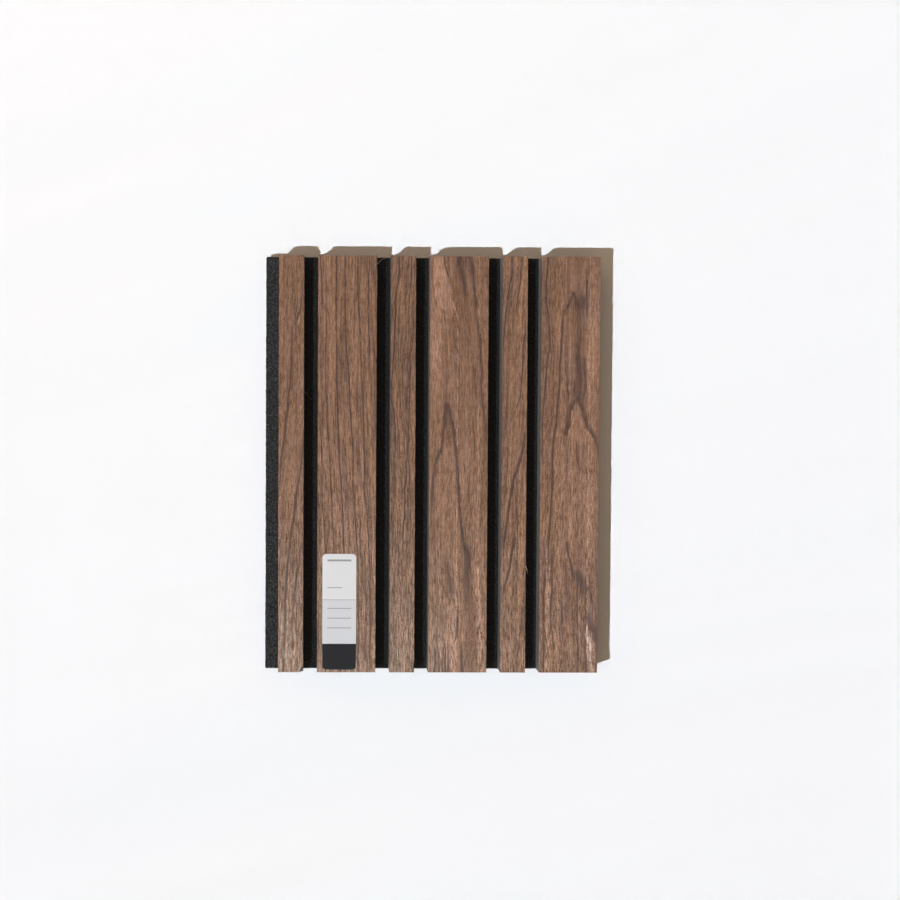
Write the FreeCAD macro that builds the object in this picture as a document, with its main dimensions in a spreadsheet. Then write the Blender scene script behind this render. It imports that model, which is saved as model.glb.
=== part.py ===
import FreeCAD, Part
import os

import Sketcher

# Acoustic slat wall panel, lying on its felt back with the wooden faces up.
# X runs across the slats, Y along them and Z out of the face.
# The origin is the middle of the felt's back.

doc = FreeCAD.newDocument("acoustic_slat_panel")

# Driving dimensions in millimetres
DIMENSIONS = (
    ("narrow_slat_width", 18, "width of a narrow slat"),
    ("wide_slat_width", 42, "width of a wide slat"),
    ("slat_gap", 10, "clear space between two slats"),
    ("slat_length", 299, "length of every slat"),
    ("pair_count", 3, "pairs of one narrow and one wide slat"),
    ("edge_flange", 10, "bare felt beside the first narrow slat"),
    ("end_overhang", 0.5, "felt that shows past each slat end"),
    ("felt_thickness", 9, "thickness of the felt sheet"),
    ("felt_corner_radius", 1.5, "rounding of the felt's corners in plan"),
    ("felt_edge_round", 0.8, "softened upper edge of the felt"),
    ("core_thickness", 11.4, "thickness of a slat without its veneer"),
    ("core_arris", 0.4, "broken lower edges of a core"),
    ("veneer_thickness", 0.6, "thickness of the walnut face"),
    ("veneer_arris_radius", 0.2, "sanded long edges of the walnut face"),
    ("label_width", 24.2, "sticker size across the slat"),
    ("label_length", 83.5, "sticker size along the slat"),
    ("label_thickness", 0.15, "thickness of the sticker"),
    ("label_corner_radius", 2.9, "rounding of the sticker's corners"),
    ("label_side_margin", 3.8, "bare wood left of the sticker"),
    ("label_end_margin", 1.9, "bare wood below the sticker"),
    ("foot_chip_across", 2.3, "knocked corner at the slat's lower end, across"),
    ("foot_chip_along", 4.4, "knocked corner at the slat's lower end, along"),
    ("foot_chip_depth", 2.6, "knocked corner at the slat's lower end, downwards"),
    ("head_chip_across", 1.2, "knocked corner at the slat's upper end, across"),
    ("head_chip_along", 2.6, "knocked corner at the slat's upper end, along"),
    ("head_chip_depth", 1.5, "knocked corner at the slat's upper end, downwards"),
    ("corner_nick", 1.1, "broken corner of the second wide slat's face"),
    ("corner_nick_depth", 0.9, "depth of that broken corner"),
)

dims = doc.addObject("Spreadsheet::Sheet", "dims")
for row, (alias, value, meaning) in enumerate(DIMENSIONS, start=1):
    dims.set("A%d" % row, meaning)
    dims.set("B%d" % row, str(value))
    dims.setAlias("B%d" % row, alias)
doc.recompute()

# Formulas shared by several pieces
PAIR_WIDTH = "(dims.narrow_slat_width + dims.wide_slat_width)"
PITCH = "(%s + 2 * dims.slat_gap)" % PAIR_WIDTH
FELT_WIDTH = "(dims.edge_flange + dims.pair_count * %s - dims.slat_gap)" % PITCH
FELT_LENGTH = "(dims.slat_length + 2 * dims.end_overhang)"
VENEER_BOTTOM = "(dims.felt_thickness + dims.core_thickness)"
VENEER_TOP = "(%s + dims.veneer_thickness)" % VENEER_BOTTOM


def narrow_slat_centre(pair):
    """Place across the panel of the narrow slat in the given pair, counted from 0."""
    left = "(dims.edge_flange - %s / 2 + %d * %s)" % (FELT_WIDTH, pair, PITCH)
    return "(%s + dims.narrow_slat_width / 2)" % left


def wide_slat_centre(pair):
    """Place across the panel of the wide slat, one gap after its narrow slat."""
    half_widths = "%s / 2" % PAIR_WIDTH
    return "(%s + %s + dims.slat_gap)" % (narrow_slat_centre(pair), half_widths)


def body_at(name, x=None, y=None, z=None):
    """New body whose own origin lies at the given place; None stays at zero."""
    body = doc.addObject("PartDesign::Body", name)
    body.Label = name
    for axis, formula in (("x", x), ("y", y), ("z", z)):
        if formula:
            body.setExpression("Placement.Base." + axis, formula)
    return body


def sketch_on(body, plane_role, name):
    """Empty sketch on one of the body's origin planes."""
    sketch = body.newObject("Sketcher::SketchObject", name)
    plane = next(f for f in body.Origin.OriginFeatures if f.Role == plane_role)
    sketch.AttachmentSupport = [(plane, "")]
    sketch.MapMode = "FlatFace"
    return sketch


def draw_rectangle(sketch, width, height, on_baseline=False):
    """Rectangle about the sketch's origin, or standing on its horizontal axis."""
    low = 0 if on_baseline else -1
    corners = [FreeCAD.Vector(x, y, 0) for x, y in ((-1, low), (1, low), (1, 1), (-1, 1))]
    for start, end in zip(corners, corners[1:] + corners[:1]):
        sketch.addGeometry(Part.LineSegment(start, end), False)
    for line in range(4):
        sketch.addConstraint(Sketcher.Constraint("Coincident", line, 2, (line + 1) % 4, 1))
    for line, direction in enumerate(("Horizontal", "Vertical", "Horizontal", "Vertical")):
        sketch.addConstraint(Sketcher.Constraint(direction, line))
    # The lower side's ends, or two opposite corners, mirror each other at the origin
    last_corner = (0, 2) if on_baseline else (1, 2)
    sketch.addConstraint(Sketcher.Constraint("Symmetric", 0, 1, *last_corner, -1, 1))
    across = sketch.addConstraint(Sketcher.Constraint("DistanceX", 0, 1, 0, 2, 2))
    along = sketch.addConstraint(Sketcher.Constraint("DistanceY", 1, 1, 1, 2, 1))
    sketch.setExpression("Constraints[%d]" % across, width)
    sketch.setExpression("Constraints[%d]" % along, height)


def pad(body, sketch, length, symmetric=False):
    """Extrude the sketch along its normal, or to both sides of its plane."""
    feature = body.newObject("PartDesign::Pad", sketch.Name + "_pad")
    feature.Profile = sketch
    if symmetric:
        feature.SideType = "Symmetric"
    feature.setExpression("Length", length)
    sketch.Visibility = False
    doc.recompute()
    return feature


def straight_edges(feature, direction, wanted=lambda middle: True):
    """Names of the feature's straight edges along a direction, sorted by a test on their middle."""
    names = []
    for number, edge in enumerate(feature.Shape.Edges, start=1):
        if edge.Curve.TypeId != "Part::GeomLine":
            continue
        if edge.Curve.Direction.cross(direction).Length > 1e-6:
            continue
        if wanted(edge.CenterOfMass):
            names.append("Edge%d" % number)
    return names


def round_edges(body, base, edge_names, radius):
    """Fillet on the named edges of the base feature."""
    feature = body.newObject("PartDesign::Fillet", base.Name + "_round")
    feature.Base = (base, edge_names)
    feature.setExpression("Radius", radius)
    doc.recompute()
    return feature


def break_edges(body, base, edge_names, size):
    """Small equal chamfer on the named edges of the base feature."""
    feature = body.newObject("PartDesign::Chamfer", base.Name + "_arris")
    feature.Base = (base, edge_names)
    feature.setExpression("Size", size)
    doc.recompute()
    return feature


def knock_corner(body, name, x, y, z, across, along, depth):
    """Scoop with the given half axes out of the body, centred on a corner of the slat."""
    scoop = body.newObject("PartDesign::SubtractiveEllipsoid", name)
    scoop.setExpression("Radius1", depth)
    scoop.setExpression("Radius2", across)
    scoop.setExpression("Radius3", along)
    for axis, formula in (("x", x), ("y", y), ("z", z)):
        scoop.setExpression("AttachmentOffset.Base." + axis, formula)
    plane = next(f for f in body.Origin.OriginFeatures if f.Role == "XY_Plane")
    scoop.AttachmentSupport = [(plane, "")]
    scoop.MapMode = "FlatFace"
    doc.recompute()
    return scoop


def make_felt():
    """The felt sheet that carries every slat and shows as a flange at the left."""
    body = body_at("felt_backing")
    outline = sketch_on(body, "XY_Plane", "felt_outline")
    draw_rectangle(outline, FELT_WIDTH, FELT_LENGTH)
    sheet = pad(body, outline, "dims.felt_thickness")
    corners = straight_edges(sheet, FreeCAD.Vector(0, 0, 1))
    sheet = round_edges(body, sheet, corners, "dims.felt_corner_radius")
    # One edge of the upper face is enough: the fillet follows the tangent outline
    top = dims.felt_thickness
    upper = straight_edges(sheet, FreeCAD.Vector(0, 1, 0), lambda middle: abs(middle.z - top) < 1e-6)
    round_edges(body, sheet, upper, "dims.felt_edge_round")
    return body


def make_core(name, centre, width):
    """Dark core of one slat, face to face with the felt below it."""
    body = body_at(name, x=centre, z="dims.felt_thickness")
    section = sketch_on(body, "XZ_Plane", name + "_section")
    draw_rectangle(section, width, "dims.core_thickness", on_baseline=True)
    strip = pad(body, section, "dims.slat_length", symmetric=True)
    lower = straight_edges(strip, FreeCAD.Vector(0, 1, 0), lambda middle: abs(middle.z) < 1e-6)
    break_edges(body, strip, lower, "dims.core_arris")
    return body


def make_veneer(name, centre, width):
    """Walnut face of one slat, with its long upper edges sanded."""
    body = body_at(name, x=centre, z=VENEER_BOTTOM)
    section = sketch_on(body, "XZ_Plane", name + "_section")
    draw_rectangle(section, width, "dims.veneer_thickness", on_baseline=True)
    sheet = pad(body, section, "dims.slat_length", symmetric=True)
    top = dims.veneer_thickness
    upper = straight_edges(sheet, FreeCAD.Vector(0, 1, 0), lambda middle: abs(middle.z - top) < 1e-6)
    round_edges(body, sheet, upper, "dims.veneer_arris_radius")
    return body


def knock_slat_corner(core, veneer, name, width, end, across, along, depth):
    """The same scoop out of both layers of a slat, at its right side and the given end."""
    x = "%s / 2" % width
    y = "%s dims.slat_length / 2" % end
    sizes = (across, along, depth)
    core_top = "dims.core_thickness + dims.veneer_thickness"
    knock_corner(core, name + "_in_core", x, y, core_top, *sizes)
    knock_corner(veneer, name + "_in_veneer", x, y, "dims.veneer_thickness", *sizes)


def make_label(slat_centre):
    """Sticker near the lower left corner of the first wide slat."""
    left = "%s - dims.wide_slat_width / 2 + dims.label_side_margin" % slat_centre
    lower = "dims.label_end_margin - dims.slat_length / 2"
    body = body_at(
        "sample_label",
        x="%s + dims.label_width / 2" % left,
        y="%s + dims.label_length / 2" % lower,
        z=VENEER_TOP,
    )
    outline = sketch_on(body, "XY_Plane", "label_outline")
    draw_rectangle(outline, "dims.label_width", "dims.label_length")
    sheet = pad(body, outline, "dims.label_thickness")
    corners = straight_edges(sheet, FreeCAD.Vector(0, 0, 1))
    round_edges(body, sheet, corners, "dims.label_corner_radius")
    return body


def make_slats():
    """Narrow and wide slats in turn across the felt, each a core under a veneer."""
    slats = {}
    for pair in range(int(dims.pair_count)):
        for kind, centre in (("narrow", narrow_slat_centre(pair)), ("wide", wide_slat_centre(pair))):
            slat = "%s_slat_%d" % (kind, pair + 1)
            width = "dims.%s_slat_width" % kind
            core = make_core(slat + "_core", centre, width)
            veneer = make_veneer(slat + "_veneer", centre, width)
            slats[slat] = (core, veneer, width)
    return slats


def wear_slats(slats):
    """Corners that the sample has lost in handling."""
    core, veneer, width = slats["narrow_slat_1"]
    knock_slat_corner(
        core, veneer, "foot_chip", width, "-",
        "dims.foot_chip_across", "dims.foot_chip_along", "dims.foot_chip_depth",
    )
    knock_slat_corner(
        core, veneer, "head_chip", width, "",
        "dims.head_chip_across", "dims.head_chip_along", "dims.head_chip_depth",
    )
    if "wide_slat_2" in slats:
        core, veneer, width = slats["wide_slat_2"]
        knock_slat_corner(
            core, veneer, "corner_nick", width, "",
            "dims.corner_nick", "dims.corner_nick", "dims.corner_nick_depth",
        )


def write_steps(bodies):
    """Stop on any failed object, then write one STEP file for each piece."""
    doc.recompute()
    for item in doc.Objects:
        if "Invalid" in item.State or "Error" in item.State:
            raise RuntimeError("%s failed: %s" % (item.Name, item.State))
    for body in bodies:
        if body.Shape.isNull() or not body.Shape.isValid() or len(body.Shape.Solids) != 1:
            raise RuntimeError("%s has no valid single solid" % body.Label)
    os.makedirs("parts", exist_ok=True)
    for body in bodies:
        body.Shape.exportStep("parts/%s.step" % body.Label)


felt = make_felt()
slats = make_slats()
wear_slats(slats)
label = make_label(wide_slat_centre(0))
layers = [layer for core, veneer, width in slats.values() for layer in (core, veneer)]
write_steps([felt, *layers, label])
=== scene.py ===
import math
import random

import bpy
from mathutils import Euler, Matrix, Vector, noise


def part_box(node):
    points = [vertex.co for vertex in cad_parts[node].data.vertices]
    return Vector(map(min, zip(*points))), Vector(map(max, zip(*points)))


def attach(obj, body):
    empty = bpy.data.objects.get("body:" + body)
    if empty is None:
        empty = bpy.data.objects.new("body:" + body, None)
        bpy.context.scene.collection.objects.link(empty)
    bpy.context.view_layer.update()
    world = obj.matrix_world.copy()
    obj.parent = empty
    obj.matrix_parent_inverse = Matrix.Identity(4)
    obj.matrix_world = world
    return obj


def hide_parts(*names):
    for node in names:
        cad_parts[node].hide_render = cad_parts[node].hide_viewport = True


# Acoustic slat wall panel lying face up: walnut veneered slats glued to a black felt sheet.
# Lengths in this script are millimetres unless a name says metres.

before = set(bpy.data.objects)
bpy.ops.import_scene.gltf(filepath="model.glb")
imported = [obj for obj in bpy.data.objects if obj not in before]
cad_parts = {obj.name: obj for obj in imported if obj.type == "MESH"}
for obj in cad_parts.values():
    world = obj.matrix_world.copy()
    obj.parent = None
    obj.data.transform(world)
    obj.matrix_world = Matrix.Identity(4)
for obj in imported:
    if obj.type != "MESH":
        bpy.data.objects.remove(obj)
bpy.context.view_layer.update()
MM = 0.001


def node_box(name):
    """Lowest and highest corner of a node of the panel, in millimetres."""
    low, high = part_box(name)
    return low / MM, high / MM


SLATS = ["%s_slat_%d" % (kind, pair) for pair in (1, 2, 3) for kind in ("narrow", "wide")]
FACE = {slat: node_box(slat + "_veneer") for slat in SLATS}
FELT_LOW, FELT_HIGH = node_box("felt_backing")
LABEL_LOW, LABEL_HIGH = node_box("sample_label")
FACE_HEIGHT = FACE["wide_slat_1"][1].z
SLAT_HEAD = FACE["wide_slat_1"][1].y
SLAT_LENGTH = SLAT_HEAD - FACE["wide_slat_1"][0].y


# Camera

PICTURE_SIDE = 900
CAMERA_PLACE = Vector((-67.6, 40.2, 718.4))
CAMERA_TILT = Euler([math.radians(angle) for angle in (-1.08, -0.51, 0.24)])
FOCAL_PIXELS = 974
OPTICAL_CENTRE = (346.6, 426.9)
SENSOR_WIDTH = 36


def add_camera():
    """Camera that looks down on the panel from the photograph's place."""
    data = bpy.data.cameras.new("camera")
    data.sensor_width = SENSOR_WIDTH
    data.lens = FOCAL_PIXELS / PICTURE_SIDE * SENSOR_WIDTH
    data.shift_x = (PICTURE_SIDE / 2 - OPTICAL_CENTRE[0]) / PICTURE_SIDE
    data.shift_y = (OPTICAL_CENTRE[1] - PICTURE_SIDE / 2) / PICTURE_SIDE
    data.clip_start = 0.01
    camera = bpy.data.objects.new("camera", data)
    camera.location = CAMERA_PLACE * MM
    camera.rotation_euler = CAMERA_TILT
    bpy.context.scene.collection.objects.link(camera)
    bpy.context.scene.camera = camera


def under_pixel(across, down, height=FACE_HEIGHT):
    """Point at the given height that the photograph shows at this pixel."""
    ray = Vector((across - OPTICAL_CENTRE[0], OPTICAL_CENTRE[1] - down, -FOCAL_PIXELS))
    ray.rotate(CAMERA_TILT)
    return CAMERA_PLACE + ray * ((height - CAMERA_PLACE.z) / ray.z)


# Finishes

class Field:
    """A value that varies over a surface. Arithmetic on it adds Math nodes."""

    def __init__(self, finish, socket):
        self.finish = finish
        self.socket = socket

    def math(self, operation, first, second):
        return self.finish.node("ShaderNodeMath", {"operation": operation}, {0: first, 1: second})

    def __add__(self, other):
        return self.math("ADD", self, other)

    def __sub__(self, other):
        return self.math("SUBTRACT", self, other)

    def __rsub__(self, other):
        return self.math("SUBTRACT", other, self)

    def __mul__(self, other):
        return self.math("MULTIPLY", self, other)

    def __truediv__(self, other):
        return self.math("DIVIDE", self, other)

    def __rpow__(self, other):
        return self.math("POWER", other, self)

    def least(self, other):
        return self.math("MINIMUM", self, other)

    def most(self, other):
        return self.math("MAXIMUM", self, other)

    __radd__ = __add__
    __rmul__ = __mul__


class Finish:
    """A material, a lamp's or the world's node tree, built from expressions."""

    def __init__(self, owner):
        self.owner = owner
        owner.use_nodes = True
        self.tree = owner.node_tree
        self.tree.nodes.clear()

    def node(self, kind, settings=None, inputs=None, output=0):
        """One node: its settings first, then the values or links of its sockets."""
        made = self.tree.nodes.new(kind)
        for name, setting in (settings or {}).items():
            if name == "curve":
                draw_curve(made.mapping, setting)
            else:
                setattr(made, name, setting)
        for name, given in (inputs or {}).items():
            if isinstance(given, Field):
                self.tree.links.new(given.socket, made.inputs[name])
            else:
                made.inputs[name].default_value = given
        return Field(self, made.outputs[output]) if made.outputs else None

    def place(self):
        """Place on the panel as three fields, in millimetres."""
        at = self.node("ShaderNodeTexCoord", output="Object")
        parts = [self.node("ShaderNodeSeparateXYZ", {}, {0: at}, axis) for axis in range(3)]
        return [part * (1 / MM) for part in parts]

    def vector(self, x, y, z):
        return self.node("ShaderNodeCombineXYZ", {}, {0: x, 1: y, 2: z})

    def grain(self, x, y, z, detail=2.0, roughness=0.5):
        """Noise between 0 and 1 whose features are about one unit wide."""
        inputs = {"Vector": self.vector(x, y, z), "Scale": 1.0, "Detail": detail, "Roughness": roughness}
        return self.node("ShaderNodeTexNoise", {}, inputs)

    def ease(self, value, start, end, low=0.0, high=1.0):
        """Smooth step from low at start to high at end."""
        inputs = {0: value, 1: start, 2: end, 3: low, 4: high}
        return self.node("ShaderNodeMapRange", {"interpolation_type": "SMOOTHSTEP"}, inputs)

    def follow(self, value, points):
        """Curve through the points, which run from 0 to 1 both ways."""
        return self.node("ShaderNodeFloatCurve", {"curve": points}, {"Factor": 1.0, "Value": value})

    def blend(self, amount, first, second, mode="MIX"):
        """Mix of two colours."""
        settings = {"data_type": "RGBA", "blend_type": mode}
        return self.node("ShaderNodeMix", settings, {0: amount, 6: first, 7: second}, 2)

    def bump(self, height, depth):
        return self.node("ShaderNodeBump", {}, {"Height": height, "Distance": depth * MM, "Strength": 1.0})

    def surface(self, **sockets):
        """Principled surface with the given sockets; underscores stand for spaces."""
        inputs = {name.replace("_", " "): given for name, given in sockets.items()}
        shader = self.node("ShaderNodeBsdfPrincipled", {}, inputs)
        self.node("ShaderNodeOutputMaterial", {}, {"Surface": shader})
        return self.owner


def draw_curve(mapping, points):
    """Put a Float Curve through the points, flat beyond its ends."""
    mapping.extend = "HORIZONTAL"
    curve = mapping.curves[0]
    for _ in range(len(points) - 2):
        curve.points.new(0.5, 0.5)
    for knot, (along, value) in zip(curve.points, sorted(points)):
        knot.location = (along, value)
        knot.handle_type = "AUTO_CLAMPED"
    mapping.update()


def new_finish(name):
    return Finish(bpy.data.materials.new(name))


def give_finish(thing, material):
    """Put one material on every slot of a piece or node."""
    if not thing.material_slots:
        thing.data.materials.append(material)
    for slot in thing.material_slots:
        slot.material = material


# Walnut figure

# Tones of the figure; dull and glossy places only change the varnish
GREY, RED, PALE, RAW, DULL = "grey", "red", "pale", "raw", "dull"

# Lean of the fine grain on each slat, as photograph pixels down its length
LEAN = {
    "narrow_slat_1": ((297, 256), (295, 340), (289, 420), (284, 500), (280, 590), (278, 672)),
    "wide_slat_1": ((336, 256), (337, 378), (339.5, 460), (342.5, 506), (344, 552), (346, 672)),
    "narrow_slat_2": ((399, 256), (395, 325), (392, 400), (394, 450), (393, 560), (392, 672)),
    "wide_slat_2": ((458, 256), (464, 340), (466, 430), (462, 540), (465, 600), (465, 672)),
    "narrow_slat_3": ((515, 256), (509, 320), (507, 400), (503, 480), (500, 560), (498, 672)),
    "wide_slat_3": ((560, 256), (559, 390), (554, 445), (551, 520), (549, 560), (550, 672)),
}

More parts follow.
